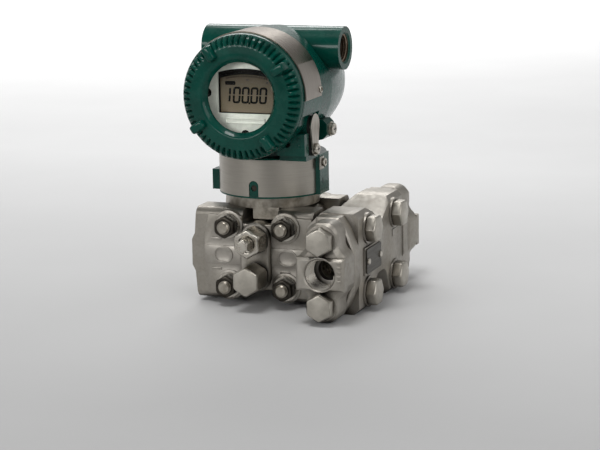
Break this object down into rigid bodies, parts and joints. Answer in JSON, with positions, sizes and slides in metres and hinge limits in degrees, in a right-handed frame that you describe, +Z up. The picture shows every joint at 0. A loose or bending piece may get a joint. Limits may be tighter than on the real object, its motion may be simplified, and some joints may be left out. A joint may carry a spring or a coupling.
{
  "type": "differential pressure transmitter",
  "caption": "Low-flow differential pressure transmitter: painted two-chamber head with display, flange-clamped capsule, side manifold and in-line threaded process ports.",
  "frame": {"origin": "on the supporting surface, under the middle of the footprint", "axes": "+Z up along the head's swivel axis, +X towards the manifold, -Y towards the display; the flow axis runs along Y"},
  "size_m": [0.1298, 0.1638, 0.1788],
  "materials": {
    "cast_stainless": "bead-blasted stainless casting",
    "turned_stainless": "turned stainless",
    "sheet_stainless": "brushed stainless sheet",
    "green_paint": "semi-gloss teal green paint",
    "dark_steel": "blackened steel",
    "plate_grey": "etched dark grey plate",
    "rubber_black": "black rubber",
    "ptfe_white": "white PTFE",
    "bezel_white": "light grey moulded plastic",
    "lcd_grey": "liquid crystal panel",
    "module_black": "black potted module",
    "window_glass": "clear tempered glass",
    "brass_nickel": "nickel-plated brass"
  },
  "bodies": {
    "process_body": {"front_cover_flange": "cast_stainless", "rear_cover_flange": "cast_stainless", "capsule_body": "turned_stainless", "pressure_sensor": "turned_stainless", "sealing_diaphragms": "sheet_stainless", "capsule_gaskets": "ptfe_white", "flange_studs": "turned_stainless", "flange_washers": "dark_steel", "flange_nuts": "dark_steel", "front_drain_plug": "turned_stainless", "rear_drain_plug": "turned_stainless", "front_vent_plug": "turned_stainless", "rear_vent_plug": "turned_stainless", "manifold_body": "cast_stainless", "manifold_bolts": "turned_stainless", "data_plate": "plate_grey", "data_plate_screws": "turned_stainless", "orifice_plate": "turned_stainless", "orifice_seals": "ptfe_white", "front_spacer": "turned_stainless", "rear_spacer": "turned_stainless", "connector_seals": "ptfe_white", "front_process_connector": "cast_stainless", "rear_process_connector": "cast_stainless", "connector_bolts": "turned_stainless"},
    "head": {"amplifier_housing": "green_paint", "swivel_lock_screw": "turned_stainless", "neck_band": "sheet_stainless", "name_strip": "sheet_stainless", "guard_gasket": "rubber_black", "guard_pivot": "turned_stainless", "ground_screw": "turned_stainless", "ground_washer": "turned_stainless", "amplifier_module": "module_black", "display_bezel": "bezel_white", "lcd_panel": "lcd_grey", "terminal_block": "module_black", "terminal_screws": "brass_nickel", "entry_plug": "turned_stainless"},
    "display_cover_body": {"display_cover": "green_paint", "window_glass": "window_glass", "glass_retainer": "dark_steel"},
    "terminal_cover_body": {"terminal_cover": "green_paint"},
    "guard_body": {"zero_guard": "sheet_stainless"},
    "zero_screw_body": {"zero_screw": "turned_stainless"},
    "front_vent_body": {"front_vent_screw": "turned_stainless"},
    "rear_vent_body": {"rear_vent_screw": "turned_stainless"}
  },
  "joints": [
    {"name": "head_swivel", "type": "hinge", "parent": "process_body", "child": "head", "pos_m": [-0.0172, 0, 0.0774], "axis": [0, 0, 1], "range_deg": [-180, 180]},
    {"name": "display_cover_turn", "type": "hinge", "parent": "head", "child": "display_cover_body", "pos_m": [-0.0172, -0.05, 0.1377], "axis": [0, 1, 0], "continuous": true},
    {"name": "terminal_cover_turn", "type": "hinge", "parent": "head", "child": "terminal_cover_body", "pos_m": [-0.0172, 0.052, 0.1377], "axis": [0, 1, 0], "continuous": true},
    {"name": "zero_guard_swing", "type": "hinge", "parent": "head", "child": "guard_body", "pos_m": [0.0188, -0.025, 0.1022], "axis": [1, 0, 0], "range_deg": [0, 100]},
    {"name": "zero_screw_turn", "type": "hinge", "parent": "head", "child": "zero_screw_body", "pos_m": [0.0188, -0.025, 0.1159], "axis": [1, 0, 0], "continuous": true},
    {"name": "front_vent_turn", "type": "hinge", "parent": "process_body", "child": "front_vent_body", "pos_m": [-0.0137, -0.05, 0.0444], "axis": [0, 1, 0], "range_deg": [0, 720]},
    {"name": "rear_vent_turn", "type": "hinge", "parent": "process_body", "child": "rear_vent_body", "pos_m": [-0.0137, 0.05, 0.0444], "axis": [0, 1, 0], "range_deg": [-720, 0]}
  ]
}
